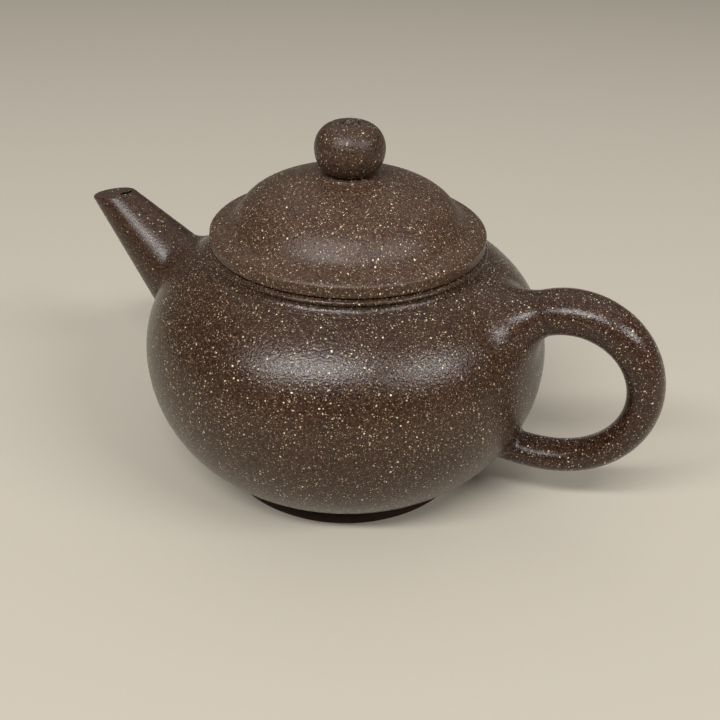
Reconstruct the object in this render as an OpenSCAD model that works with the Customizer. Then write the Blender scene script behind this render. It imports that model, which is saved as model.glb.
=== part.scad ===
// Round clay teapot with a press-down lid, luted together from separate clay pieces.
// The origin is the centre of the foot's underside, +Z is up, the handle is on +X and the spout on -X.

/* [Body] */
// Widest diameter of the belly
belly_d = 90; // [84:1:96]
// Height of the widest line above the table
belly_z = 28.45; // [27.5:0.05:28.9]
// Height that the upper half of the belly would reach on the pot's axis
crown_h = 30.8; // [30:0.1:32]
// Wall thickness at the belly
wall_t = 2.8; // [2.2:0.1:3.4]
// Diameter of the flat ledge on top of the shoulder
ledge_d = 60; // [58:0.5:62]
// Diameter at which the shoulder disc is luted to the body wall
shoulder_seam_d = 72; // [70:1:76]

/* [Foot and base] */
// Outer diameter of the foot ring
foot_d = 59; // [54:0.5:60]
// Width of the foot ring's resting face
foot_w = 3.4; // [2.6:0.1:4]
// Diameter of the base disc
base_d = 54; // [53:0.5:55]
// Thickness of the base disc
base_t = 3; // [2.4:0.1:3.6]
// Height of the base disc's underside above the table
base_clear = 2.4; // [2:0.1:2.6]

/* [Mouth] */
// Inner diameter of the mouth
mouth_d = 52.8; // [50:0.2:53.6]
// Outer diameter of the neck ring
neck_d = 59.2; // [58:0.2:60]
// Height of the mouth above the table
mouth_z = 55.8; // [55.2:0.1:56.4]

/* [Lid] */
// Outer diameter of the lid's rim
lid_d = 59; // [58:0.2:60]
// Thickness of the lid's rim at its edge
rim_t = 2.2; // [1.8:0.1:2.6]
// Diameter of the lid's dome where it is steepest
dome_d = 48.8; // [47:0.2:50]
// Height of the dome above the lid's rim
dome_h = 11.8; // [10:0.1:13]
// Thickness of the lid's clay
lid_t = 2.6; // [2:0.1:3]
// Radial gap between the lid's flange and the mouth
lid_gap = 0.35; // [0.2:0.05:0.8]
// Length of the flange below the lid's rim
flange_l = 6.8; // [5:0.1:8]
// Thickness of the flange
flange_t = 2.2; // [1.8:0.1:2.6]

/* [Knob] */
// Widest diameter of the knob
knob_d = 14.7; // [13:0.1:16]
// Height of the knob's widest line above the top of the dome
knob_rise = 5.5; // [5:0.1:6.5]
// Diameter of the vent hole through the knob
vent_d = 2.4; // [1.6:0.1:3]

/* [Spout] */
// Reach of the spout's tip from the pot's axis
spout_reach = 64.2; // [62:0.1:66]
// Height of the centre of the spout's tip
spout_tip_z = 53.5; // [52:0.1:55]
// Rise of the spout's axis above level, in degrees
spout_rise = 41; // [39:0.5:43]
// Outer diameter of the tip, across the axis
spout_tip_d = 8.6; // [8:0.1:9.4]
// Taper of the spout's outside, in degrees from its axis
spout_taper = 11.3; // [10:0.1:12]
// Diameter of the hole in the cut tip face
pour_d = 2.4; // [2:0.1:2.6]
// Distance of that hole's centre from the tip's centre, towards the pot
pour_offset = 3.8; // [3:0.1:4]
// Downward tilt of the cut tip face, in degrees
spout_cut = 10.5; // [6:0.5:14]

/* [Strainer] */
// Outer radius of the domed strainer behind the spout
strainer_r = 10; // [9.6:0.1:10.6]
// Diameter of each strainer hole
strainer_hole_d = 2; // [1.6:0.1:2.4]

/* [Handle] */
// Reach of the handle's centre line from the pot's axis
handle_reach = 67; // [65:0.5:69]
// Height of the handle's centre line at its top
handle_top_z = 50.1; // [48:0.1:52]
// Thickness of the handle at its top
handle_top_d = 9.6; // [8.6:0.1:10.4]
// Thickness of the handle at its lower end
handle_low_d = 7.1; // [6.4:0.1:8]

/* [Hidden] */
$fn = 96;
eps = 0.01;
clay = "#6f5a4a";
lid_clay = "#79624f";
knob_clay = "#5f4b3d";
pot_r = belly_d / 2;
mouth_r = mouth_d / 2;
foot_r = foot_d / 2;

// A point at angle t on a quarter of a superellipse that is r wide and h high
function super_pt(t, r, h, round_r, round_h) = [r * pow(cos(t), 2 / round_r), h * pow(sin(t), 2 / round_h)];

// How square the belly's curve is: radially and in height, above and below the widest line
up_round_r = 2;
up_round_h = 2.5;
low_round_r = 3.3;
low_round_h = 1.75;
belly_steps = 22;
crown_t = acos(ledge_d / belly_d);
shoulder_thick = 3.8;
ledge_z = belly_z + super_pt(crown_t, pot_r, crown_h, up_round_r, up_round_h)[1];

// Half outline of the belly between its lowest point and angle t_top, shrunk radially by
// inset_r and in height by inset_h
function belly_side(inset_r, inset_h, t_top) = [
    for (i = [0 : belly_steps])
        let (p = super_pt(90 * (1 - i / belly_steps), pot_r - inset_r, belly_z - inset_r, low_round_r, low_round_h))
        [p[0], belly_z - p[1]],
    for (i = [1 : belly_steps])
        let (p = super_pt(t_top * i / belly_steps, pot_r - inset_r, crown_h - inset_h, up_round_r, up_round_h))
        [p[0], belly_z + p[1]]
];

module belly_outside_2d() {
    side = belly_side(0, 0, crown_t);
    difference() {
        polygon(concat([for (p = side) p], [[0, ledge_z]]));
        square([pot_r, 2 * base_clear], center = true);
    }
}

module belly_inside_2d() {
    side = belly_side(wall_t, shoulder_thick, 62);
    floor_z = base_clear + base_t;
    difference() {
        polygon(concat([for (p = side) p], [[0, side[len(side) - 1][1]]]));
        square([pot_r, 2 * floor_z], center = true);
    }
}

module pot_envelope() {
    rotate_extrude() belly_outside_2d();
}

// Everything further from the pot's axis than r
module beyond_2d(r) {
    translate([r, -belly_d])
        square([belly_d, 3 * belly_d]);
}

// Tube wall, made from a clay strip that is beaten into the round belly
module body_wall() {
    color(clay) difference() {
        rotate_extrude() intersection() {
            difference() {
                belly_outside_2d();
                belly_inside_2d();
            }
            beyond_2d(base_d / 2);
            difference() {
                square([belly_d, belly_d]);
                translate([0, belly_z])
                    square([shoulder_seam_d / 2, belly_d]);
            }
        }
        on_spout_axis()
            cylinder(h = 2 * spout_len, r = spout_hole_r, center = true);
    }
}

// Top disc that closes the wall, with the mouth cut out of it
module shoulder_disc() {
    color(clay) rotate_extrude() intersection() {
        difference() {
            belly_outside_2d();
            belly_inside_2d();
        }
        translate([mouth_r, belly_z])
            square([shoulder_seam_d / 2 - mouth_r, belly_d]);
    }
}

module base_disc() {
    color(clay) rotate_extrude() intersection() {
        difference() {
            belly_outside_2d();
            belly_inside_2d();
        }
        square([base_d / 2, belly_z]);
    }
}

foot_round = 0.5;
module foot_ring() {
    color(knob_clay) rotate_extrude() difference() {
        polygon([
            [foot_r - foot_w, 0],
            [foot_r - foot_round, 0],
            [foot_r, foot_round],
            [foot_r - 0.2, 1.8],
            [foot_r - 0.5, 5],
            [foot_r - foot_w - 0.4, 5],
            [foot_r - foot_w - 0.4, foot_round]
        ]);
        belly_outside_2d();
    }
}

neck_round = 0.5;
neck_waist = 0.5;
module neck_ring() {
    neck_r = neck_d / 2;
    color(clay) rotate_extrude() polygon([
        [mouth_r, ledge_z],
        [ledge_d / 2 - eps, ledge_z],
        [neck_r - neck_waist + 0.2, ledge_z + 0.25],
        [neck_r - neck_waist, ledge_z + 0.8],
        [neck_r - neck_waist + 0.1, ledge_z + 1.4],
        [neck_r, mouth_z - 2 * neck_round + 0.2],
        [neck_r - 0.15, mouth_z - 0.3],
        [neck_r - neck_round, mouth_z],
        [mouth_r + 0.3, mouth_z],
        [mouth_r, mouth_z - 0.3]
    ]);
}

// The spout's own frame: origin at the tip's centre, +Z outward along its axis
spout_len = 46;
spout_tip_r = spout_tip_d / 2;
pour_r = pour_d / 2;
bore_start = 8;
bore_start_r = 3.4;
bore_taper = 10.4;
spout_hole_r = 7.8;
module on_spout_axis() {
    translate([-spout_reach, 0, spout_tip_z])
        rotate([0, spout_rise - 90, 0])
            children();
}

// The root is thickened by a web of slip, which is wide above the spout and fades out underneath.
// wall_s is where the bare cone would meet the belly, s along its axis and a degrees from its top.
function wall_s(a) = 29.5 - 7.45 * cos(a) + 1.8 * cos(2 * a);
web_curve = 0.1;
web_share = 0.6;
function web_reach(a) = 0.8 + 3.5 * pow((1 + cos(a)) / 2, 1.45);
function web(s, a) = min(web_curve * pow(max(s - wall_s(a) + web_reach(a), 0), 2), web_share * web_reach(a));
root_s = 30;
spout_cap = 8;
spout_sides = 48;
spout_rings = [-spout_cap, 0, 8, 16, each [18 : 1 : 42], spout_len];

module spout_outside() {
    slope = tan(spout_taper);
    last = len(spout_rings) - 1;
    points = [
        for (s = spout_rings)
            for (j = [0 : spout_sides - 1])
                let (a = 360 * j / spout_sides, r = spout_tip_r + slope * s + web(s, a))
                [r * cos(a), r * sin(a), -s]
    ];
    sides = [
        for (i = [0 : last - 1])
            for (j = [0 : spout_sides - 1])
                let (a = i * spout_sides + j, b = i * spout_sides + (j + 1) % spout_sides)
                [a, b, b + spout_sides, a + spout_sides]
    ];
    start = [[for (j = [spout_sides - 1 : -1 : 0]) j]];
    end = [[for (j = [0 : spout_sides - 1]) last * spout_sides + j]];
    polyhedron(points = points, faces = concat(sides, start, end), convexity = 6);
}

// The cut tip face: origin on it above the tip's centre, +Z up from it
module on_tip_face() {
    translate([-spout_reach - 0.3, 0, spout_tip_z + 0.25])
        rotate([0, -spout_cut, 0])
            children();
}

module spout() {
    root_bore_r = bore_start_r + tan(bore_taper) * (root_s - bore_start);
    color(clay) difference() {
        on_spout_axis()
            spout_outside();
        on_spout_axis() rotate_extrude() polygon([
            [0, -bore_start],
            [bore_start_r, -bore_start],
            [root_bore_r, -root_s],
            [root_bore_r, -spout_len - 1],
            [0, -spout_len - 1]
        ]);
        hull() {
            on_tip_face()
                translate([pour_offset + 0.3, 0, -0.4])
                    cylinder(h = 3, r = pour_r, $fn = 32);
            on_spout_axis()
                translate([0, 0, -bore_start - 0.7])
                    cylinder(h = 0.5, r = bore_start_r - 0.1, $fn = 32);
        }
        on_tip_face()
            translate([0, 0, 25])
                cube([60, 40, 50], center = true);
        pot_envelope();
    }
}

// Domed sieve inside the wall, in front of the hole that leads to the spout
strainer_t = 1.6;
strainer_s = 31.5;
ring_tilt = 28;
module on_strainer_axis() {
    on_spout_axis() translate([0, 0, -strainer_s])
        children();
}

module strainer() {
    ring_holes = 6;
    color(clay) difference() {
        intersection() {
            on_strainer_axis()
                sphere(r = strainer_r);
            rotate_extrude() belly_inside_2d();
        }
        on_strainer_axis() {
            sphere(r = strainer_r - strainer_t);
            for (ring = [0 : 2])
                for (i = [0 : max(ring * ring_holes, 1) - 1])
                    rotate([0, 0, i * 360 / max(ring * ring_holes, 1)])
                        rotate([180 - ring * ring_tilt, 0, 0])
                            translate([0, 0, 0.7 * strainer_r])
                                cylinder(h = strainer_r, d = strainer_hole_d);
        }
    }
}

// The handle's centre line lies in the XZ plane and is a chain of cubic curves
function bezier(t, p) =
    pow(1 - t, 3) * p[0] + 3 * pow(1 - t, 2) * t * p[1] + 3 * (1 - t) * t * t * p[2] + pow(t, 3) * p[3];
function bezier_dir(t, p) =
    pow(1 - t, 2) * (p[1] - p[0]) + 2 * (1 - t) * t * (p[2] - p[1]) + t * t * (p[3] - p[2]);
handle_out_z = 34.6;
handle_low_z = 14.3;
upper_root = [35, 39.5];
handle_top = [51, handle_top_z];
handle_out = [handle_reach, handle_out_z];
handle_low = [43.7, handle_low_z];
lower_root = [36, handle_low_z];
handle_spans = [
    [upper_root, upper_root + [4.5, 6.5], handle_top - [4.6, 0], handle_top],
    [handle_top, handle_top + [15.3, 0], handle_out + [0, 1], handle_out],
    [handle_out, handle_out - [0, 8.6], handle_low + [17.6, 0], handle_low],
    [handle_low, handle_low - [2, 0], lower_root + [2, 0], lower_root]
];
span_steps = [14, 16, 20, 4];
out_r = 3.8;
top_r = handle_top_d / 2;
low_r = handle_low_d / 2;
// Thickening where the clay is worked into the wall, as a radius added at distance d from the end
function root_flare(d) = 1.6 * exp(-pow(max(d, 0) / 4.2, 2));
function handle_radius(k, t, p) =
    (k == 0 ? top_r : k == 1 ? top_r + (out_r - top_r) * t : k == 2 ? out_r + (low_r - out_r) * t : low_r)
    + root_flare(norm(p - [37.5, 43])) + root_flare(norm(p - [40, handle_low_z]));
handle_rings = [
    for (k = [0 : len(handle_spans) - 1])
        for (i = [(k == 0 ? 0 : 1) : span_steps[k]])
            let (t = i / span_steps[k], p = bezier(t, handle_spans[k]), d = bezier_dir(t, handle_spans[k]))
            [p, d / norm(d), handle_radius(k, t, p)]
];
handle_sides = 28;
module handle() {
    last = len(handle_rings) - 1;
    points = [
        for (ring = handle_rings)
            for (j = [0 : handle_sides - 1])
                let (a = 360 * j / handle_sides, out = ring[2] * cos(a))
                [ring[0][0] - ring[1][1] * out, ring[2] * sin(a), ring[0][1] + ring[1][0] * out]
    ];
    sides = [
        for (i = [0 : last - 1])
            for (j = [0 : handle_sides - 1])
                let (a = i * handle_sides + j, b = i * handle_sides + (j + 1) % handle_sides)
                [a, b, b + handle_sides, a + handle_sides]
    ];
    start = [[for (j = [handle_sides - 1 : -1 : 0]) j]];
    end = [[for (j = [0 : handle_sides - 1]) last * handle_sides + j]];
    color(clay) difference() {
        polyhedron(points = points, faces = concat(sides, start, end), convexity = 6);
        pot_envelope();
    }
}

// Lid: outline of the whole lid from its rim to the axis, split between rim and dome at dome_z
lid_r = lid_d / 2;
rim_top_z = mouth_z + rim_t;
dome_r = dome_d / 2;
dome_z = rim_top_z + 1;
dome_top_z = rim_top_z + dome_h;
dome_round = 2.2;
dome_steps = 24;
knob_seat_r = 6.4;
seat_z = dome_top_z + 0.3;

// One smooth curve from the top of the dome down into the flare of the rim
dome_control = [
    [0, dome_top_z],
    [0.29 * dome_r, dome_top_z],
    [0.234 * dome_r, dome_top_z + 0.3],
    [1.283 * dome_r, dome_top_z - 3.4],
    [0.734 * dome_r, rim_top_z + 3.6],
    [lid_r - 1.4, rim_top_z + 0.25]
];
binomial_5 = [1, 5, 10, 10, 5, 1];
function dome_pt(t) = [
    for (axis = [0, 1])
        [for (k = [0 : 5]) binomial_5[k] * pow(t, k) * pow(1 - t, 5 - k)] * [for (c = dome_control) c[axis]]
];

module lid_outside_2d() {
    dome = [for (i = [0 : dome_steps]) dome_pt(1 - i / dome_steps)];
    rim = [
        [0, mouth_z],
        [lid_r - 0.5, mouth_z],
        [lid_r - 0.1, mouth_z + 0.4],
        [lid_r, mouth_z + 1],
        [lid_r - 0.1, rim_top_z - 0.6],
        [lid_r - 0.4, rim_top_z - 0.15],
        [lid_r - 0.8, rim_top_z + 0.1]
    ];
    polygon(concat(rim, dome));
}

module lid_inside_2d() {
    inner_r = dome_r - lid_t + 0.4;
    inner_foot_z = dome_z - 1.4;
    arc = [
        for (i = [0 : dome_steps])
            let (p = super_pt(90 * i / dome_steps, inner_r, dome_top_z - lid_t - inner_foot_z, dome_round, 2))
            [p[0], inner_foot_z + p[1]]
    ];
    polygon(concat([[0, mouth_z - 1], [inner_r, mouth_z - 1]], arc));
}

module lid_rim() {
    color(lid_clay) rotate_extrude() intersection() {
        difference() {
            lid_outside_2d();
            lid_inside_2d();
        }
        translate([0, mouth_z])
            square([lid_r, dome_z - mouth_z]);
    }
}

module lid_dome() {
    color(lid_clay) difference() {
        rotate_extrude() difference() {
            intersection() {
                union() {
                    lid_outside_2d();
                    translate([0, dome_z])
                        square([knob_seat_r, seat_z - dome_z]);
                }
                translate([0, dome_z])
                    square([lid_r, dome_h]);
            }
            lid_inside_2d();
        }
        cylinder(h = 2 * dome_top_z, d = vent_d);
    }
}

module lid_flange() {
    flange_r = mouth_r - lid_gap;
    color(lid_clay) rotate_extrude() polygon([
        [flange_r - flange_t, mouth_z],
        [flange_r, mouth_z],
        [flange_r, mouth_z - flange_l + 1.2],
        [flange_r - 0.4, mouth_z - flange_l + 0.3],
        [flange_r - 0.9, mouth_z - flange_l],
        [flange_r - flange_t + 0.5, mouth_z - flange_l],
        [flange_r - flange_t, mouth_z - flange_l + 0.6]
    ]);
}

knob_r = knob_d / 2;
knob_up_h = 5.5;
knob_low_h = 5.9;
knob_steps = 16;
vent_mouth_r = 1.8;
module knob() {
    knob_z = dome_top_z + knob_rise;
    upper = [
        for (i = [0 : knob_steps])
            let (p = super_pt(90 * i / knob_steps, knob_r, knob_up_h, 2.8, 2))
            [p[0], knob_z + p[1]]
    ];
    lower = [
        for (i = [knob_steps : -1 : 1])
            let (p = super_pt(70 * i / knob_steps, knob_r, knob_low_h, 2.5, 2))
            [p[0], knob_z - p[1]]
    ];
    color(knob_clay) difference() {
        rotate_extrude() difference() {
            polygon(concat([[0, seat_z - 1], [lower[0][0], seat_z - 1]], lower, upper));
            square([knob_r, seat_z]);
        }
        cylinder(h = 2 * knob_z, d = vent_d);
        translate([0, 0, knob_z + knob_up_h - 0.7])
            cylinder(h = 1, r1 = vent_d / 2, r2 = vent_mouth_r);
    }
}

body_wall();
shoulder_disc();
base_disc();
foot_ring();
neck_ring();
spout();
strainer();
handle();
lid_rim();
lid_dome();
lid_flange();
knob();
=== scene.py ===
import math

import bmesh
import bpy
import numpy as np
from mathutils import Color, Matrix, Quaternion, Vector
from mathutils.noise import noise_vector, seed_set


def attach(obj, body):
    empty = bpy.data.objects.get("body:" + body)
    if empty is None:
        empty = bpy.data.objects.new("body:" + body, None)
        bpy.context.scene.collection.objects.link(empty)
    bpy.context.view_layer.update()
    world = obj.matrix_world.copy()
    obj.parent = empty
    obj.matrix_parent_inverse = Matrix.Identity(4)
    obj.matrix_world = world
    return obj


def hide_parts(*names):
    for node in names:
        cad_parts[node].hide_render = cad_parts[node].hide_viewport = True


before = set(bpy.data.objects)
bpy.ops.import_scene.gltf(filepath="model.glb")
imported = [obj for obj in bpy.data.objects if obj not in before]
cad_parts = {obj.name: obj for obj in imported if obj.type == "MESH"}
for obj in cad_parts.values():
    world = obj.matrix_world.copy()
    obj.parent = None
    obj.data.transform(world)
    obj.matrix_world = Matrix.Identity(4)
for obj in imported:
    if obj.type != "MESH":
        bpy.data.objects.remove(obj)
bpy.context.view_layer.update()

# ---- Camera -----------------------------------------------------------------
# It stands close to the pot and looks down on it, with the handle to the right and a little
# nearer than the spout. Where nothing else is said, sizes are in millimetres.
MM = 0.001
camera_lens = 44.0
camera_reach = 176.0 * MM
camera_height = 131.9 * MM
camera_azimuth = math.radians(26.0)
camera_yaw = math.radians(1.06)
camera_pitch = math.radians(31.38)
camera_roll = math.radians(1.6)

camera = bpy.data.objects.new("camera", bpy.data.cameras.new("camera"))
bpy.context.scene.collection.objects.link(camera)
bpy.context.scene.camera = camera
camera.data.lens = camera_lens
camera.data.clip_start = 10 * MM
aim = Matrix.Rotation(camera_azimuth - camera_yaw, 4, "Z")
aim @= Matrix.Rotation(math.pi / 2 - camera_pitch, 4, "X")
aim @= Matrix.Rotation(camera_roll, 4, "Z")
stand = Vector((math.sin(camera_azimuth), -math.cos(camera_azimuth), 0)) * camera_reach
camera.matrix_world = Matrix.Translation(stand + Vector((0, 0, camera_height))) @ aim

# ---- Table and light --------------------------------------------------------
# A plain pale table top, a long strip of light in front of the pot and half above it, a smaller
# one on the handle's side, a broad one overhead and an even room.
table_size = 40000 * MM
table_colour = (192, 184, 169)
table_roughness = 0.7
room_colour = (214, 210, 204)
room_strength = 0.2
pot_middle = Vector((0, 0, 40 * MM))


def srgb(red, green, blue):
    """The linear colour of one given as 0 to 255 on a screen."""
    return (*Color((red / 255, green / 255, blue / 255)).from_srgb_to_scene_linear(), 1.0)


def link(thing):
    """Puts a new object in the scene and hands it back."""
    bpy.context.scene.collection.objects.link(thing)
    return thing


table_mesh = bpy.data.meshes.new("table_top")
half = table_size / 2
table_corners = [(-half, -half, 0), (half, -half, 0), (half, half, 0), (-half, half, 0)]
table_mesh.from_pydata(table_corners, [], [(0, 1, 2, 3)])
table_paint = bpy.data.materials.new("table_paint")
table_paint.use_nodes = True
table_shader = table_paint.node_tree.nodes["Principled BSDF"]
table_shader.inputs["Base Color"].default_value = srgb(*table_colour)
table_shader.inputs["Roughness"].default_value = table_roughness
table_mesh.materials.append(table_paint)
link(bpy.data.objects.new("table_top", table_mesh))

room = bpy.data.worlds.new("room")
room.use_nodes = True
room.node_tree.nodes["Background"].inputs["Color"].default_value = srgb(*room_colour)
room.node_tree.nodes["Background"].inputs["Strength"].default_value = room_strength
bpy.context.scene.world = room
bpy.context.scene.view_settings.view_transform = "Standard"


def soft_lamp(name, azimuth, elevation, distance, width, height, power, roll=0):
    """A rectangular lamp that faces the pot, azimuth degrees round from -Y towards +X, and is
    turned by roll about the way it faces. Its sizes are in metres."""
    lamp = link(bpy.data.objects.new(name, bpy.data.lights.new(name, "AREA")))
    lamp.data.shape = "RECTANGLE"
    lamp.data.size = width
    lamp.data.size_y = height
    lamp.data.energy = power
    turn, rise = math.radians(azimuth), math.radians(elevation)
    back = Vector((math.sin(turn) * math.cos(rise), -math.cos(turn) * math.cos(rise), math.sin(rise)))
    lamp.location = back * distance + pot_middle
    lamp.rotation_mode = "QUATERNION"
    lamp.rotation_quaternion = back.to_track_quat("Z", "Y") @ Quaternion((0, 0, 1), math.radians(roll))


soft_lamp("front_lamp", azimuth=0, elevation=49, distance=1.2, width=1.05, height=0.1, power=13.2, roll=20)
soft_lamp("side_lamp", azimuth=80, elevation=38, distance=1.2, width=0.6, height=0.14, power=5.8, roll=-15)
soft_lamp("top_lamp", azimuth=200, elevation=75, distance=1.3, width=2.2, height=2.2, power=6.6)

# ---- Belly: wall, shoulder and base -----------------------------------------
# The wall is a beaten strip of clay, closed by a shoulder disc above and a base disc below. The
# three are luted with slip and rubbed smooth into one skin. The clay is dark brown stoneware
# full of coarse sand, fired without a glaze.
belly_points = [(30.0, 52.8), (50.0, 42.35), (46.5, 27.2), (45.65, 9.75), (25.2, 2.4)]
wall_thickness = 2.8
shoulder_thickness = 3.4
thickening_heights = (40, 52)
mouth_radius = 26.4
mouth_edge_rise = 0.3
ledge_height = 52.45
ledge_starts_height = 52.1
ledge_edge = [(30.8, 52.38), (30.5, ledge_height), (30.1, ledge_height)]
floor_height = 5.4
floor_radius = 19.0
floor_corner_rise = 2.4
floor_corner_reach = 1.6
pot_sides = 288
pot_colour = (56, 37, 25)
sand_colour = (240, 224, 190)
rust_colour = (168, 112, 66)
pit_painted_shade_colour = (24, 17, 12)
# Painted shade: the near black that darkens the spout's bore and the knob's vent.
painted_shade_colour = (13, 9, 6)


def curve_through(control, steps):
    """Points on the smooth curve that one polygon of control points draws, first to last."""
    control = np.array(control, float)
    degree = len(control) - 1
    along = np.linspace(0, 1, steps)[:, None]
    return sum(
        math.comb(degree, k) * along**k * (1 - along) ** (degree - k) * control[k]
        for k in range(degree + 1)
    )


def ways_along(line):
    """The unit direction of a line of points at each of them."""
    way = np.gradient(line, axis=0)
    return way / np.linalg.norm(way, axis=-1, keepdims=True)


def wire(tree, node_type, links=(), **settings):
    """Adds a node: settings are its own values, links the sockets or values its inputs take."""
    node = tree.nodes.new(node_type)
    for name, value in settings.items():
        setattr(node, name, value)
    for socket, source in dict(links).items():
        if isinstance(source, bpy.types.NodeSocket):
            tree.links.new(source, node.inputs[socket])
        else:
            node.inputs[socket].default_value = source
    return node


def node_group(name, kind, takes, gives):
    """A node tree and its input sockets, from the name and type of each one."""
    tree = bpy.data.node_groups.new(name, kind)
    for way, named in (("INPUT", takes), ("OUTPUT", gives)):
        for socket, socket_type in named.items():
            tree.interface.new_socket(socket, in_out=way, socket_type="NodeSocket" + socket_type)
    return tree, tree.nodes.new("NodeGroupInput").outputs


def finish_geometry(tree, geometry, clay):
    """Ends a geometry tree: shaded smooth, made real and clad in its clay."""
    smooth = wire(tree, "GeometryNodeSetShadeSmooth", {"Geometry": geometry})
    real = wire(tree, "GeometryNodeRealizeInstances", {"Geometry": smooth.outputs["Geometry"]})
    clad = wire(tree, "GeometryNodeSetMaterial", {"Geometry": real.outputs["Geometry"], "Material": clay})
    wire(tree, "NodeGroupOutput", {"Geometry": clad.outputs["Geometry"]})


# Every turned piece is its half outline, swept round a hair-thin axle on the pot's axis. Where
# the outline starts or ends on the axis, its points are merged into a pole.
axle_radius = MM / 1000
pole_gap = 3 * axle_radius
turning, given = node_group(
    "turned_piece", "GeometryNodeTree",
    {"Outline": "Object", "Sides": "Int", "Axle": "Float", "Clay": "Material"},
    {"Geometry": "Geometry"},
)
outline_in = wire(turning, "GeometryNodeObjectInfo", {"Object": given["Outline"]})
axle = wire(
    turning, "GeometryNodeCurvePrimitiveCircle",
    {"Resolution": given["Sides"], "Radius": given["Axle"]},
)
upright = wire(turning, "GeometryNodeSetCurveNormal", {"Curve": axle.outputs["Curve"]}, mode="Z_UP")
swept = wire(
    turning, "GeometryNodeCurveToMesh",
    {"Curve": upright.outputs["Curve"], "Profile Curve": outline_in.outputs["Geometry"]},
)
poles = wire(
    turning, "GeometryNodeMergeByDistance",
    {"Geometry": swept.outputs["Mesh"], "Distance": pole_gap},
)
finish_geometry(turning, poles.outputs["Geometry"], given["Clay"])


def grown(name, tree, **inputs):
    """The plain mesh object that a geometry tree makes from its named inputs."""
    seed = link(bpy.data.objects.new(name + "_seed", bpy.data.meshes.new(name + "_seed")))
    modifier = seed.modifiers.new("grow", "NODES")
    modifier.node_group = tree
    for item in tree.interface.items_tree:
        value = inputs.get(item.name.replace(" ", "_"))
        if item.in_out == "INPUT" and value is not None:
            modifier[item.identifier] = value
    mesh = bpy.data.meshes.new_from_object(seed.evaluated_get(bpy.context.evaluated_depsgraph_get()))
    mesh.name = name
    bpy.data.objects.remove(seed)
    return link(bpy.data.objects.new(name, mesh))


def drawn(name, points, closed=False):
    """A curve object of straight stretches through points in millimetres."""
    curve = bpy.data.curves.new(name, "CURVE")
    curve.dimensions = "3D"
    spline = curve.splines.new("POLY")
    spline.points.add(len(points) - 1)
    spline.use_cyclic_u = closed
    for place, point in zip(spline.points, points):
        place.co = (*(np.array(point) * MM), 1)
    return link(bpy.data.objects.new(name, curve))


def outward(piece):
    """Turns all of a closed piece's faces outwards."""
    shape = bmesh.new()
    shape.from_mesh(piece.data)
    bmesh.ops.recalc_face_normals(shape, faces=shape.faces)
    shape.to_mesh(piece.data)
    shape.free()
    return piece


def turned(name, outline, clay, sides=pot_sides):
    """A closed turned piece from its half outline of (radius, height) points in millimetres."""
    on_axis = outline[0][0] == 0
    points = [(radius, -height, 0) for radius, height in outline]
    line = drawn(name + "_outline", points, closed=not on_axis)
    piece = grown(name, turning, Outline=line, Sides=sides, Axle=axle_radius, Clay=clay)
    bpy.data.objects.remove(line)
    return outward(piece)


# The clay. Its pattern is worked out in millimetres from the piece's own frame. Each layer of
# sand is a lattice of cells with at most one grain in each: the cell's size, the share of cells
# that hold a grain, its largest radius, and how pale it is.
sand_layers = [(0.92, 0.62, 0.22, 1.0), (0.5, 0.75, 0.145, 0.85), (0.3, 0.8, 0.1, 0.65)]
smallest_grain = 0.3  # as a share of the largest
dullest_grain = 0.4  # as a share of the palest
rust_from = 0.7
rustiest = 0.9
grain_raggedness = 0.42
grain_edge = 0.04
grain_height = 0.02
grain_roughness = 0.12
peel_height = 0.09
sandpaper_height = 0.03
pit_cell = 1.25
pit_largest = 0.17  # as a share of its cell, like the edge
pit_edge = 0.06
pit_depth = 0.05
pit_painted_shade_strength = 0.8


def math_node(tree, operation, *values):
    """The output of one Math node on the given sockets or numbers."""
    node = wire(tree, "ShaderNodeMath", dict(enumerate(values)), operation=operation)
    return node.outputs["Value"]


def ramp(tree, value, start, end, low=0.0, high=1.0):
    """A value that rises from low to high as the given one goes from start to end, and holds there."""
    links = {"Value": value, "From Min": start, "From Max": end, "To Min": low, "To Max": high}
    return wire(tree, "ShaderNodeMapRange", links).outputs["Result"]


def noise(tree, place, features, detail=2.0):
    """Noise from 0 to 1 with so many features in a millimetre."""
    links = {"Vector": place, "Scale": features, "Detail": detail}
    return wire(tree, "ShaderNodeTexNoise", links).outputs


def cells(tree, place, size):
    """A lattice of cells of one size: how far off each cell's own point is, in cells, and three
    chances that the cell draws."""
    lattice = wire(tree, "ShaderNodeTexVoronoi", {"Vector": place, "Scale": 1 / size}).outputs
    chances = wire(tree, "ShaderNodeSeparateColor", {"Color": lattice["Color"]}).outputs
    return lattice["Distance"], chances["Red"], chances["Green"], chances["Blue"]


def scaled(tree, vector, scale):
    """A vector or colour times a number."""
    links = {0: vector, "Scale": scale}
    return wire(tree, "ShaderNodeVectorMath", links, operation="SCALE").outputs["Vector"]


def blend_colour(tree, share, first, second):
    """The colour between first and second, by share."""
    colour_sockets = {0: share, 6: first, 7: second}
    return wire(tree, "ShaderNodeMix", colour_sockets, data_type="RGBA").outputs[2]


sanded, given = node_group(
    "sanded_clay", "ShaderNodeTree",
    {"Clay": "Color", "Sand": "Color", "Rust": "Color", "Amount": "Float", "Skin": "Float",
     "Rough": "Float"},
    {"Color": "Color", "Roughness": "Float", "Height": "Float"},
)
own_frame = wire(sanded, "ShaderNodeTexCoord").outputs["Object"]
millimetres = scaled(sanded, own_frame, 1 / MM)
jitter = noise(sanded, millimetres, features=3.2, detail=3.0)["Color"]
ragged = wire(
    sanded, "ShaderNodeVectorMath", {0: jitter, 1: (grain_raggedness,) * 3, 2: millimetres},
    operation="MULTIPLY_ADD",
).outputs["Vector"]

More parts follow.
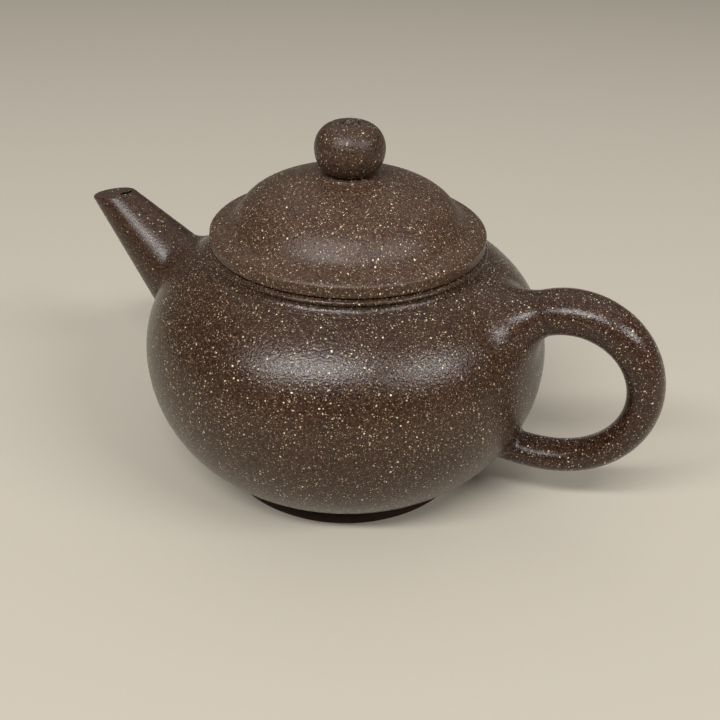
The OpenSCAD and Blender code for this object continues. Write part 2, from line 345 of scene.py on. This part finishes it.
cloud = noise(sanded, millimetres, features=0.07)["Fac"]
mottle = noise(sanded, millimetres, features=1.8, detail=4.0)["Fac"]
peel = noise(sanded, millimetres, features=2.1)["Fac"]
sandpaper = noise(sanded, millimetres, features=4.5)["Fac"]
cloud_shade = ramp(sanded, cloud, 0.3, 0.7, low=0.9, high=1.08)
mottle_shade = ramp(sanded, mottle, 0.35, 0.65, low=0.5, high=1.5)
colour = scaled(sanded, given["Clay"], math_node(sanded, "MULTIPLY", cloud_shade, mottle_shade))
height = math_node(sanded, "MULTIPLY", peel, peel_height)
height = math_node(sanded, "MULTIPLY_ADD", sandpaper, sandpaper_height, height)
height = math_node(sanded, "MULTIPLY", height, given["Skin"])
mottle_rough = ramp(sanded, mottle, 0.36, 0.64, low=-0.05, high=0.06)
rough = math_node(sanded, "ADD", given["Rough"], mottle_rough)
for cell, share, largest, pale in sand_layers:
    distance, size_chance, rust_chance, pale_chance = cells(sanded, ragged, cell)
    widest = largest / cell
    threshold = math_node(sanded, "MULTIPLY_ADD", given["Amount"], -share, 1.0)
    radius = ramp(sanded, size_chance, threshold, 1.0, low=smallest_grain * widest, high=widest)
    there = math_node(sanded, "GREATER_THAN", size_chance, threshold)
    radius = math_node(sanded, "MULTIPLY", radius, there)
    grain = ramp(sanded, math_node(sanded, "SUBTRACT", radius, distance), 0.0, grain_edge / cell)
    rusty = ramp(sanded, rust_chance, rust_from, 1.0, high=rustiest)
    tint = blend_colour(sanded, rusty, given["Sand"], given["Rust"])
    paleness = ramp(sanded, pale_chance, 0.0, 1.0, low=dullest_grain * pale, high=pale)
    colour = blend_colour(sanded, math_node(sanded, "MULTIPLY", grain, paleness), colour, tint)
    height = math_node(sanded, "MULTIPLY_ADD", grain, grain_height * largest, height)
    rough = math_node(sanded, "MULTIPLY_ADD", grain, grain_roughness, rough)

# Where a grain has come away, it leaves a pit, in half of the cells at most.
distance, size_chance, *_ = cells(sanded, ragged, pit_cell)
pit_radius = ramp(sanded, size_chance, 0.5, 1.0, high=pit_largest)
pit = ramp(sanded, math_node(sanded, "SUBTRACT", pit_radius, distance), 0.0, pit_edge)
# Painted shade: each pit is blended towards near black.
colour = blend_colour(sanded, math_node(sanded, "MULTIPLY", pit, pit_painted_shade_strength), colour, srgb(*pit_painted_shade_colour))
height = math_node(sanded, "MULTIPLY_ADD", pit, -pit_depth, height)
wire(sanded, "NodeGroupOutput", {"Color": colour, "Roughness": rough, "Height": height})


def clay_material(
    name, clay, amount=1.0, skin=1.0, rough=0.22, shine=0.37, luted_on=False, painted_shaded=False,
):
    """Sanded clay of its own colour, with so much sand and relief in its skin. On a piece that is
    luted on, it passes over into the pot's clay where the piece's points are marked as slip. It is
    blended towards near black, as painted shade, where they are marked for painted shade."""
    material = bpy.data.materials.new(name)
    material.use_nodes = True
    tree = material.node_tree
    pattern = wire(tree, "ShaderNodeGroup", node_tree=sanded)
    for socket, value in (
        ("Clay", srgb(*clay)), ("Sand", srgb(*sand_colour)), ("Rust", srgb(*rust_colour)),
        ("Amount", amount), ("Skin", skin), ("Rough", rough),
    ):
        pattern.inputs[socket].default_value = value
    if luted_on:
        slip = wire(tree, "ShaderNodeAttribute", attribute_name="slip").outputs["Fac"]
        tree.links.new(blend_colour(tree, slip, srgb(*clay), srgb(*pot_colour)), pattern.inputs["Clay"])
        for socket, value in (("Amount", amount), ("Skin", skin)):
            tree.links.new(ramp(tree, slip, 0.0, 1.0, low=value), pattern.inputs[socket])
    bump = wire(tree, "ShaderNodeBump", {"Height": pattern.outputs["Height"], "Distance": MM})
    shader = tree.nodes["Principled BSDF"]
    shader.inputs["Specular IOR Level"].default_value = shine
    colour = pattern.outputs["Color"]
    # Painted shade: marked points are blended towards near black.
    if painted_shaded:
        painted_shade_mark = wire(tree, "ShaderNodeAttribute", attribute_name="tea_stain").outputs["Fac"]
        colour = blend_colour(tree, painted_shade_mark, colour, srgb(*painted_shade_colour))
    tree.links.new(colour, shader.inputs["Base Color"])
    tree.links.new(pattern.outputs["Roughness"], shader.inputs["Roughness"])
    tree.links.new(bump.outputs["Normal"], shader.inputs["Normal"])
    return material


pot_clay = clay_material("pot_clay", pot_colour)

# The outline runs up the outside, over the ledge that the neck stands on, down the inside and
# across the floor. The inside follows the outside at the wall's thickness.
belly_outside = curve_through(belly_points, steps=150)
upward = belly_outside[::-1]
left = ways_along(upward)[:, ::-1] * (-1, 1)
depth = np.interp(upward[:, 1], thickening_heights, (wall_thickness, shoulder_thickness))
inside = upward + left * depth[:, None]
inside = inside[(inside[:, 1] > floor_height + floor_corner_rise) & (inside[:, 0] > mouth_radius + 1)]
floor_bend = (inside[0][0] - floor_corner_reach, floor_height)
floor = curve_through([(floor_radius, floor_height), floor_bend, inside[0]], steps=14)
skin = belly_outside[belly_outside[:, 1] < ledge_starts_height]
ledge = curve_through([skin[0], *ledge_edge], steps=10)
belly_outline = np.vstack([
    [(0, belly_points[-1][1])], skin[::-1], ledge[1:],
    [(mouth_radius, ledge_height), (mouth_radius, inside[-1][1] + mouth_edge_rise)],
    inside[::-1], floor[::-1], [(0, floor_height)],
])
belly_blank = turned("belly_blank", belly_outline, pot_clay)

# The hole into the spout is cut through the wall. Pieces are drilled by copies of one drill, which
# stand on points and aim the way that each point says.
drill_sides = 40
drilling, given = node_group(
    "drilled_piece", "GeometryNodeTree",
    {"Blank": "Object", "Holes": "Object", "Radius": "Float", "Depth": "Float", "Clay": "Material"},
    {"Geometry": "Geometry"},
)
blank_in = wire(drilling, "GeometryNodeObjectInfo", {"Object": given["Blank"]})
holes_in = wire(drilling, "GeometryNodeObjectInfo", {"Object": given["Holes"]})
drill = wire(
    drilling, "GeometryNodeMeshCylinder",
    {"Vertices": drill_sides, "Radius": given["Radius"], "Depth": given["Depth"]},
)
aim_in = wire(
    drilling, "GeometryNodeInputNamedAttribute", {"Name": "aim"},
    data_type="FLOAT_VECTOR",
)
aimed = wire(
    drilling, "FunctionNodeAlignRotationToVector", {"Vector": aim_in.outputs["Attribute"]},
    axis="Z",
)
drills = wire(
    drilling, "GeometryNodeInstanceOnPoints",
    {"Points": holes_in.outputs["Geometry"], "Instance": drill.outputs["Mesh"],
     "Rotation": aimed.outputs["Rotation"]},
)
solid_drills = wire(drilling, "GeometryNodeRealizeInstances", {"Geometry": drills.outputs["Instances"]})
drilled_blank = wire(
    drilling, "GeometryNodeMeshBoolean",
    {"Mesh 1": blank_in.outputs["Geometry"], "Mesh 2": solid_drills.outputs["Geometry"]},
    operation="DIFFERENCE",
)
finish_geometry(drilling, drilled_blank.outputs["Mesh"], given["Clay"])


def drilled(name, blank, holes, aims, radius, depth, clay):
    """A blank with holes drilled at points in millimetres, each along its own direction."""
    mesh = bpy.data.meshes.new(name + "_holes")
    mesh.from_pydata([tuple(np.array(hole) * MM) for hole in holes], [], [])
    mesh.attributes.new("aim", "FLOAT_VECTOR", "POINT").data.foreach_set("vector", np.ravel(aims))
    marks = link(bpy.data.objects.new(name + "_holes", mesh))
    piece = grown(
        name, drilling, Blank=blank, Holes=marks, Radius=radius * MM, Depth=depth * MM, Clay=clay,
    )
    bpy.data.objects.remove(marks)
    bpy.data.objects.remove(blank)
    return outward(piece)


spout_tip = np.array([-64.2, 0.0, 53.5])
spout_rise = math.radians(41.0)
spout_inward = np.array([math.cos(spout_rise), 0.0, -math.sin(spout_rise)])
wall_hole_reach = 31.5
wall_hole = spout_tip + spout_inward * wall_hole_reach
wall_hole_radius = 8.3
wall_drill_length = 24
belly = drilled(
    "belly", belly_blank, [wall_hole], [spout_inward], wall_hole_radius, wall_drill_length, pot_clay,
)
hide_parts("body_wall", "shoulder_disc", "base_disc")
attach(belly, "pot")

# ---- Foot ring --------------------------------------------------------------
# A low ring of clay luted under the base. It is set in from the belly's edge and lies in its
# shadow; the belly's skin is rubbed down over its top.
# The foot's near black colour is painted shade, for the belly's shadow over it.
foot_painted_shade_colour = (34, 17, 9)
foot_corners = [
    (25.6, 0, 0.5), (29.2, 0, 0.5), (29.6, 1.2, 0.5), (29.0, 4.4, 0), (25.5, 3.4, 0),
]


def rounded(corners, steps=6):
    """An outline through (radius, height, rounding) corners, each rounded off by that much."""
    corners = np.array(corners, float)
    line = []
    for i, (here, rounding) in enumerate(zip(corners[:, :2], corners[:, 2])):
        if rounding == 0:
            line.append(here)
            continue
        sides = [corners[k % len(corners), :2] - here for k in (i - 1, i + 1)]
        start, end = (here + side / np.linalg.norm(side) * rounding for side in sides)
        line.extend(curve_through([start, here, end], steps))
    return np.array(line)


# Painted shade: the foot's clay is near black and has no sand.
foot_clay = clay_material("foot_clay", foot_painted_shade_colour, amount=0.0, rough=0.6, shine=0.15)
foot_ring = turned("foot_ring_clay", rounded(foot_corners), foot_clay)
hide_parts("foot_ring")
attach(foot_ring, "pot")

# ---- Neck ring --------------------------------------------------------------
# The mouth is finished with a turned ring, luted on the shoulder's ledge. The slip that it is set
# in is wiped to a soft curve round its foot, and above its waist it has a full lip.
neck_base = [(mouth_radius, 51.9), (30.7, 51.9)]
neck_foot = [(30.75, 52.36), (30.2, 52.6), (29.65, 53.0), (29.35, 53.6)]
neck_lip = [(29.3, 53.9), (29.45, 54.35), (30.15, 54.5), (30.05, 54.9)]
neck_shoulder = [(30.0, 55.05), (29.72, 55.42), (29.1, 55.5)]
neck_seat = [(27.9, 55.52), (27.6, 55.8), (26.8, 55.8), (mouth_radius, 55.4)]
neck_outline = np.vstack([
    neck_base, curve_through(neck_foot, steps=12), curve_through(neck_lip, steps=10),
    curve_through(neck_shoulder, steps=6), neck_seat,
])
neck_ring = turned("neck_ring_clay", neck_outline, pot_clay)
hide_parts("neck_ring")
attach(neck_ring, "pot")

# ---- Spout ------------------------------------------------------------------
# A straight tapering tube rolled round a stick, cut nearly level at the tip and luted over a
# hole in the wall. Slip is worked up into a soft web above it, and left sharp underneath.
spout_colour = (57, 38, 26)
spout_taper = math.radians(11.3)
spout_tip_radius = 4.3
spout_length = 42.0
spout_cut = math.radians(10.5)
spout_sides = 96
cut_point = spout_tip + (-0.3, 0, 0.25)
lip_rounding = 0.7
bore_start = 8.0
bore_start_radius = 3.4
bore_taper = math.radians(10.4)
bore_overrun = 0.6
spout_slip_on_tube = (0.8, 4.8)  # underneath, and up in the web
spout_slip_on_wall = (0.8, 5.0)
web_narrowness = 1.3
slip_dip = np.array([0.05, 0.4])
slip_dip_reach = np.array([1.0, 1.3])


def unit(vectors):
    """Vectors of length one in the same directions."""
    return vectors / np.linalg.norm(vectors, axis=-1, keepdims=True)


def between(ends, share):
    """The value so far along between two ends, for a share from 0 to 1."""
    return ends[0] + (ends[1] - ends[0]) * share


def swept_round(start, stop, sides):
    """Angles round a piece, in radians."""
    return np.linspace(start, stop, sides, endpoint=False)


belly_line = curve_through(belly_points, steps=2000)
belly_ways = ways_along(belly_line)
belly_normals = np.column_stack([-belly_ways[:, 1], belly_ways[:, 0]])


def belly_at(points):
    """How far points lie outside the belly, and the places and outward directions next to them on
    it."""
    radii = np.hypot(points[..., 0], points[..., 1])
    flat = np.stack([radii, points[..., 2]], axis=-1).reshape(-1, 1, 2)
    nearest = np.argmin(((flat - belly_line) ** 2).sum(axis=-1), axis=1)
    place, out = belly_line[nearest], belly_normals[nearest]
    height = ((flat[:, 0] - place) * out).sum(axis=-1).reshape(radii.shape)
    turn = points[..., :2] / radii[..., None]

    def solid(pair):
        pair = pair.reshape(*radii.shape, 2)
        return np.concatenate([turn * pair[..., :1], pair[..., 1:]], axis=-1)

    return height, solid(place), solid(out)


def walk(line):
    """A function for the point at any distance along a line, and the distance at which it enters
    the belly."""
    gone = np.r_[0, np.cumsum(np.linalg.norm(np.diff(line, axis=0), axis=1))]
    height = belly_at(line)[0]
    i = int(np.argmax(height < 0))
    enters = gone[i - 1] + (gone[i] - gone[i - 1]) * height[i - 1] / (height[i - 1] - height[i])

    def along(at):
        return np.stack([np.interp(at, gone, line[:, k]) for k in range(3)], axis=-1)

    return along, enters


def luted(tube, tube_reach, wall_reach, steps, curve_steps=14, fullness=0.6, look_back=0.5):
    """Rings of points of a tube that is worked into the belly, and how much each ring is slip. Each
    line along the tube leaves it tube_reach before the wall, runs out to wall_reach along the wall in
    one smooth curve and dips under the skin there. A smaller fullness fills the corner more."""
    centres = tube.mean(axis=1)
    lines = []
    for line, back, out in zip(tube.swapaxes(0, 1), tube_reach, wall_reach):
        along, enters = walk(line)
        kept = along(np.linspace(0, enters - back, steps))
        entry = along(enters)
        wall_way = belly_at(entry)[2]
        away = entry - centres[np.argmin(np.linalg.norm(line - entry, axis=1))]
        away = unit(away - wall_way * (away @ wall_way))
        _, foot, foot_way = belly_at(entry + away * out)
        arrive = unit((foot - entry) - foot_way * ((foot - entry) @ foot_way))
        leave = unit(kept[-1] - along(enters - back - look_back))
        bend = [kept[-1], kept[-1] + leave * back * fullness, foot - arrive * out * fullness, foot]
        _, under, under_way = belly_at(foot + arrive * slip_dip_reach[:, None])
        lines.append(np.vstack([
            kept, curve_through(bend, curve_steps)[1:], under - under_way * slip_dip[:, None],
        ]))
    slip = np.r_[np.zeros(steps), np.linspace(0, 1, curve_steps)[1:], 1, 1]
    return np.array(lines).swapaxes(0, 1), slip


def skinned(name, rings, clay, joined=False, **marks):
    """A closed smooth piece over rings of points in millimetres, as a tube or, joined, a ring. Each
    mark is a point attribute with one value for each ring."""
    count, sides = rings.shape[:2]
    points = [tuple(point) for point in rings.reshape(-1, 3) * MM]
    faces = []
    for i in range(count if joined else count - 1):
        for j in range(sides):
            here, beyond = i * sides, (i + 1) % count * sides
            faces.append((here + j, here + (j + 1) % sides, beyond + (j + 1) % sides, beyond + j))
    ends = [] if joined else [0, count - 1]
    for ring in ends:
        points.append(tuple(rings[ring].mean(axis=0) * MM))
        faces.extend(
            (ring * sides + j, ring * sides + (j + 1) % sides, len(points) - 1) for j in range(sides)
        )
    mesh = bpy.data.meshes.new(name)
    mesh.from_pydata(points, [], faces)
    for mark, values in marks.items():
        values = np.r_[np.repeat(values, sides), np.array(values)[ends]]
        mesh.attributes.new(mark, "FLOAT", "POINT").data.foreach_set("value", values)
    mesh.materials.append(clay)
    mesh.shade_smooth()
    return outward(link(bpy.data.objects.new(name, mesh)))


spout_upward = np.array([math.sin(spout_rise), 0.0, math.cos(spout_rise)])
cut_upward = np.array([-math.sin(spout_cut), 0.0, math.cos(spout_cut)])
cut_along = np.array([math.cos(spout_cut), 0.0, math.sin(spout_cut)])
sideways = np.array([0.0, 1.0, 0.0])

# The tube's lines run from the cut face down into the belly.
round_spout = swept_round(0, 2 * math.pi, spout_sides)
spokes = np.outer(np.cos(round_spout), spout_upward) + np.outer(np.sin(round_spout), sideways)
slopes = spout_inward + math.tan(spout_taper) * spokes
starts = spout_tip + spout_tip_radius * spokes
cut_at = ((cut_point - starts) @ cut_upward) / (slopes @ cut_upward)
tip_rim = starts + slopes * cut_at[:, None]
tube = tip_rim + (slopes * (spout_length - cut_at)[:, None]) * np.linspace(0, 1, 80)[:, None, None]
web = ((1 + np.cos(round_spout)) / 2) ** web_narrowness
skirt, skirt_slip = luted(
    tube, between(spout_slip_on_tube, web), between(spout_slip_on_wall, web), steps=40, fullness=0.5,
)

# The tip is cut with a wire and left with a small oval pour hole, which opens at once into the
# bore. The bore widens towards the wall and ends just inside it.
pour_radius = 1.2
pour_breadth = 1.7
pour_offset = 4.65
hole_lip_drop = 0.4
hole_lip_reach = 0.3
throat_drop = 1.5
throat_reach = 0.6
pour_centre = spout_tip + cut_along * pour_offset
pour_centre = pour_centre - cut_upward * ((pour_centre - cut_point) @ cut_upward)
pour_across = np.outer(np.sin(round_spout), sideways) * pour_breadth / pour_radius
pour_spokes = np.outer(np.cos(round_spout), cut_along) + pour_across
pour_edge = pour_centre + pour_radius * pour_spokes
face_way = unit(tip_rim - pour_edge)
lip = np.array([
    curve_through([edge - way * lip_rounding, edge, edge + fall * lip_rounding], steps=8)
    for edge, way, fall in zip(tip_rim, face_way, unit(slopes))
]).swapaxes(0, 1)
hole_lip = np.array([
    curve_through([edge - cut_upward * hole_lip_drop, edge, edge + way * hole_lip_reach], steps=6)
    for edge, way in zip(pour_edge, face_way)
]).swapaxes(0, 1)
face = hole_lip[-1] + (lip[0] - hole_lip[-1]) * np.linspace(0, 1, 6)[1:-1, None, None]
bore_slopes = spout_inward + math.tan(bore_taper) * spokes
bore_starts = spout_tip + spout_inward * bore_start + bore_start_radius * spokes
bore = []
for start, slope in zip(bore_starts, bore_slopes):
    along, enters = walk(start + slope * np.linspace(0, spout_length - bore_start, 60)[:, None])
    bore.append(along(np.linspace(enters + bore_overrun, 0, 14)))
bore = np.array(bore).swapaxes(0, 1)
throat_bend = pour_edge + pour_spokes * throat_reach - cut_upward * throat_drop
throat = np.array([
    curve_through(bend, steps=7)[1:-1] for bend in zip(bore[-1], throat_bend, hole_lip[0])
]).swapaxes(0, 1)

# The lip takes the place of the tube's first rings. Painted shade darkens everything up to the hole's
# edge.
under_lip = 4
painted_shade_lip_rings = 4
spout_rings = np.concatenate([bore, throat, hole_lip, face, lip, skirt[under_lip:]])
painted_shaded = np.zeros(len(spout_rings))
painted_shaded[:len(bore) + len(throat) + painted_shade_lip_rings] = 1
slip = np.zeros(len(spout_rings))
slip[-len(skirt_slip) + under_lip:] = skirt_slip[under_lip:]
spout_clay = clay_material(
    "spout_clay", spout_colour, amount=0.32, skin=0.6, rough=0.3, luted_on=True, painted_shaded=True,
)
spout = skinned("spout_clay_tube", spout_rings, spout_clay, joined=True, slip=slip, tea_stain=painted_shaded)
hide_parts("spout")
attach(spout, "pot")

# ---- Strainer ---------------------------------------------------------------
# A thrown half ball of thin clay, pierced with a brass drill while it is soft and luted over the
# hole from inside. It keeps the leaves out of the spout.
strainer_radius = 10.0
strainer_thickness = 1.6
strainer_sides = 72
strainer_rings = 26
strainer_sunk = 1.8
strainer_hole_radius = 1.0
strainer_drill_length = 6
strainer_reach = (2, 150)  # degrees from the pole, as far as it could go before the wall
hole_rings = [(1, 0), (6, 28), (12, 56)]  # how many holes, and their degrees from the pole
strainer_clay = clay_material("strainer_clay", pot_colour, amount=0.8, skin=0.6)
dome_outward = belly_at(wall_hole)[2]
dome_upward = np.cross(sideways, dome_outward)
tilt = np.linspace(*np.radians(strainer_reach), 300)[:, None]
shells = []
for radius in (strainer_radius, strainer_radius - strainer_thickness):
    meridians = []
    for turn in swept_round(0, 2 * math.pi, strainer_sides):
        spoke = math.cos(turn) * dome_upward + math.sin(turn) * sideways
        ball = wall_hole + radius * (np.sin(tilt) * spoke - np.cos(tilt) * dome_outward)
        ball = ball[:int(np.argmax(belly_at(ball)[0] > -strainer_sunk))]
        meridians.append(ball[np.linspace(0, len(ball) - 1, strainer_rings).astype(int)])
    shells.append(np.array(meridians).swapaxes(0, 1))
strainer_blank = skinned("strainer_blank", np.concatenate([shells[0], shells[1][::-1]]), strainer_clay)
strainer_aims = [
    math.cos(math.radians(lean)) * spout_inward
    + math.sin(math.radians(lean)) * (math.cos(turn) * spout_upward + math.sin(turn) * sideways)
    for number, lean in hole_rings for turn in swept_round(0, 2 * math.pi, number)
]
strainer = drilled(
    "strainer_clay_dome", strainer_blank, [wall_hole + strainer_radius * way for way in strainer_aims],
    strainer_aims, strainer_hole_radius, strainer_drill_length, strainer_clay,
)
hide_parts("strainer")
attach(strainer, "pot")

# ---- Handle -----------------------------------------------------------------
# A roll of clay, thicker at the top than below, bent round into an ear and luted on by both
# ends, with slip worked into a smooth curve where it meets the wall.
handle_colour = (54, 34, 25)
handle_line = [
    (35.0, 39.6), (45.1, 54.1), (56.6, 57.8), (88.1, 48.1), (69.1, 2.5), (47.4, 16.2), (36.0, 14.2),
]
handle_sides = 72
handle_steps = 180
handle_thick = 4.6
handle_slim = 3.4
handle_breadth = 1.2
slims_between = (0.15, 0.66)
upper_slip_on_roll = (5.0, 8.5)  # on the ear's inside, and on its outside
upper_slip_on_wall = (5.6, 9.0)
lower_slip_reach = (2.4, 1.0)

rolling, given = node_group(
    "rolled_handle", "GeometryNodeTree",
    {"Path": "Object", "Sides": "Int", "Thick": "Float", "Slim": "Float", "Breadth": "Vector",
     "Clay": "Material"},
    {"Geometry": "Geometry"},
)
path_in = wire(rolling, "GeometryNodeObjectInfo", {"Object": given["Path"]})
level = wire(
    rolling, "GeometryNodeSetCurveNormal", {"Curve": path_in.outputs["Geometry"]},
    mode="MINIMUM_TWIST",
)
factor = wire(rolling, "GeometryNodeSplineParameter").outputs["Factor"]
thickness = wire(
    rolling, "ShaderNodeMapRange",
    {"Value": factor, "From Min": slims_between[0], "From Max": slims_between[1],
     "To Min": given["Thick"], "To Max": given["Slim"]},
    interpolation_type="SMOOTHSTEP",
)
section = wire(
    rolling, "GeometryNodeCurvePrimitiveCircle",
    {"Resolution": given["Sides"], "Radius": 1.0},
)
oval = wire(
    rolling, "GeometryNodeTransform",
    {"Geometry": section.outputs["Curve"], "Scale": given["Breadth"]},
)
roll = wire(
    rolling, "GeometryNodeCurveToMesh",
    {"Curve": level.outputs["Curve"], "Profile Curve": oval.outputs["Geometry"],
     "Scale": thickness.outputs["Result"]},
)
finish_geometry(rolling, roll.outputs["Mesh"], given["Clay"])

handle_clay = clay_material("handle_clay", handle_colour, amount=0.9, skin=0.7, luted_on=True)
path = drawn("handle_path", [(x, 0, z) for x, z in curve_through(handle_line, handle_steps)])
roll = grown(
    "handle_roll", rolling, Path=path, Sides=handle_sides, Thick=handle_thick * MM,
    Slim=handle_slim * MM, Breadth=(handle_breadth, 1, 1), Clay=handle_clay,
)
rings = np.array([vertex.co for vertex in roll.data.vertices]) / MM
rings = rings.reshape(handle_steps, handle_sides, 3)
bpy.data.objects.remove(roll)
bpy.data.objects.remove(path)

# Both arms run from the middle of the roll. The upper one has much slip, most on the ear's
# outside, and the lower one has little, most on its inside.
middle = handle_steps // 2
outside = ((rings[0] - rings[0].mean(axis=0)) / handle_thick)[:, 2] / 2 + 0.5
upper_arm, upper_slip = luted(
    rings[middle::-1], between(upper_slip_on_roll, outside), between(upper_slip_on_wall, outside),
    steps=70, fullness=0.5,
)
lower_reach = between(lower_slip_reach, outside)
lower_arm, lower_slip = luted(rings[middle:], lower_reach, lower_reach, steps=70)
handle = skinned(
    "handle_roll", np.concatenate([upper_arm[:0:-1], lower_arm]), handle_clay,
    slip=np.r_[upper_slip[:0:-1], lower_slip],
)
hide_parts("handle")
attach(handle, "pot")

# ---- Lid: rim, dome and flange ----------------------------------------------
# The lid is pressed down over the mouth: a domed disc with a wide rim, and a flange luted
# underneath that drops inside the neck. It has a pad on top for the knob, and a vent through it.
lid_colour = (69, 48, 35)
dome_points = [(0, 69.8), (7.1, 69.8), (5.7, 70.1), (31.3, 66.4), (17.9, 61.5), (28.1, 58.95)]
dome_inside = [(2.0, 67.2), (9.0, 67.2), (18.5, 66.2), (22.2, 61.0), (22.2, 57.6)]
vent_radius = 1.2
pad_radius = 6.3
pad_top = 70.1
lid_underside = 55.8
rim_radius = 29.5
rim_shoulder = [dome_points[-1], (28.7, 58.8), (29.2, 58.5), (rim_radius, 58.0)]
flange_corners = [(23.85, 55.9, 0), (23.85, 49.0, 0.6), (26.05, 49.0, 0.9), (26.05, 55.9, 0)]
lid_clay = clay_material("lid_clay", lid_colour, amount=1.15, skin=1.2, rough=0.36, shine=0.33)
dome_outside = curve_through(dome_points, steps=130)
dome_outside = dome_outside[dome_outside[:, 0] > pad_radius + 0.4]
dome_meets_pad = dome_outside[0]
pad_edge = rounded([
    (pad_radius - 1, pad_top, 0), (pad_radius, pad_top, 0.25),
    (pad_radius + 0.1, dome_meets_pad[1], 0.15), (*dome_meets_pad, 0),
], steps=5)
rim_top = curve_through(rim_shoulder, steps=14)
rim_edge = rounded([
    (*rim_top[-2], 0), (*rim_top[-1], 0.12), (rim_radius, lid_underside, 0.3), (26.0, lid_underside, 0),
])
lid_outline = np.vstack([
    [(vent_radius, pad_top)], pad_edge, dome_outside[1:-1], rim_top[:-2], rim_edge,
    [(dome_inside[-1][0], lid_underside)], curve_through(dome_inside[::-1], steps=40),
    [(vent_radius, dome_inside[0][1])],
])
lid = turned("lid_clay_disc", lid_outline, lid_clay)
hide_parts("lid_rim", "lid_dome")
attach(lid, "lid")

flange = turned("lid_flange_clay", rounded(flange_corners), lid_clay)
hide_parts("lid_flange")
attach(flange, "lid")

# ---- Knob -------------------------------------------------------------------
# A ball of clay, a little flattened, luted on the lid's pad. A stick is pushed through it for
# the vent, which leaves a crumbled edge at the top.
knob_colour = (60, 41, 29)
knob_radius = 7.35
knob_widest = 75.3
knob_top = 80.75
knob_low = 69.4
knob_fullness_above = 2.8
knob_fullness_below = 3.3
vent_mouth = 2.2
crumbs_radius = 3.4
crumbs_depth = 3.0
crumb_sizes = [(1.6, 0.75), (4, 0.35)]  # features in a millimetre, and how far they move the clay
# Painted shade darkens the vent's mouth out to about this radius, with a wandering edge.
painted_shade_radius = 1.9
painted_shade_wander = 1.6
crumb_seed = 7
darkest_painted_shade = 0.85
knob_clay = clay_material("knob_clay", knob_colour, amount=0.9, skin=1.0, rough=0.38, painted_shaded=True)


def half_ball(end_height, fullness):
    """A flattened half ball's outline, from its widest place to its end."""
    up = swept_round(0, math.pi / 2, 60)
    radii = knob_radius * np.cos(up) ** (2 / fullness)
    return np.column_stack([radii, knob_widest + (end_height - knob_widest) * np.sin(up)])


knob_lower = half_ball(knob_low, knob_fullness_below)
knob_upper = half_ball(knob_top, knob_fullness_above)
knob_line = np.vstack([knob_lower[::-1], knob_upper[1:]])
knob_line = knob_line[(knob_line[:, 0] > vent_mouth) & (knob_line[:, 1] > pad_top - 0.25)]
vent_bend = (vent_radius + 0.4, knob_top - 0.5)
vent_edge = curve_through([knob_line[-1], vent_bend, (vent_radius, knob_top - 2.5)], steps=24)
knob_outline = np.vstack([[(vent_radius, pad_top - 0.2)], knob_line[:-1], vent_edge])
knob = turned("knob_clay_ball", knob_outline, knob_clay, sides=192)

# The vent's edge is crumbled, less and less downwards and outwards, and painted shade darkens it.
vent_painted_shade = knob.data.attributes.new("tea_stain", "FLOAT", "POINT").data
seed_set(crumb_seed)
for vertex, painted_shade_mark in zip(knob.data.vertices, vent_painted_shade):
    out = math.hypot(vertex.co.x, vertex.co.y) / MM
    painted_shade_edge = painted_shade_radius + noise_vector(vertex.co / MM * 1.3).x * painted_shade_wander
    painted_shade_mark.value = min(max(painted_shade_edge - out, 0), darkest_painted_shade)
    high = (vertex.co.z / MM - knob_top + crumbs_depth) / crumbs_depth
    if high > 0 and out < crumbs_radius:
        crumble = sum((noise_vector(vertex.co / MM * size) * move for size, move in crumb_sizes), Vector())
        crumble.z = min(crumble.z, 0)
        vertex.co += crumble * MM * high * (1 - out / crumbs_radius)
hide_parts("knob")
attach(knob, "lid")
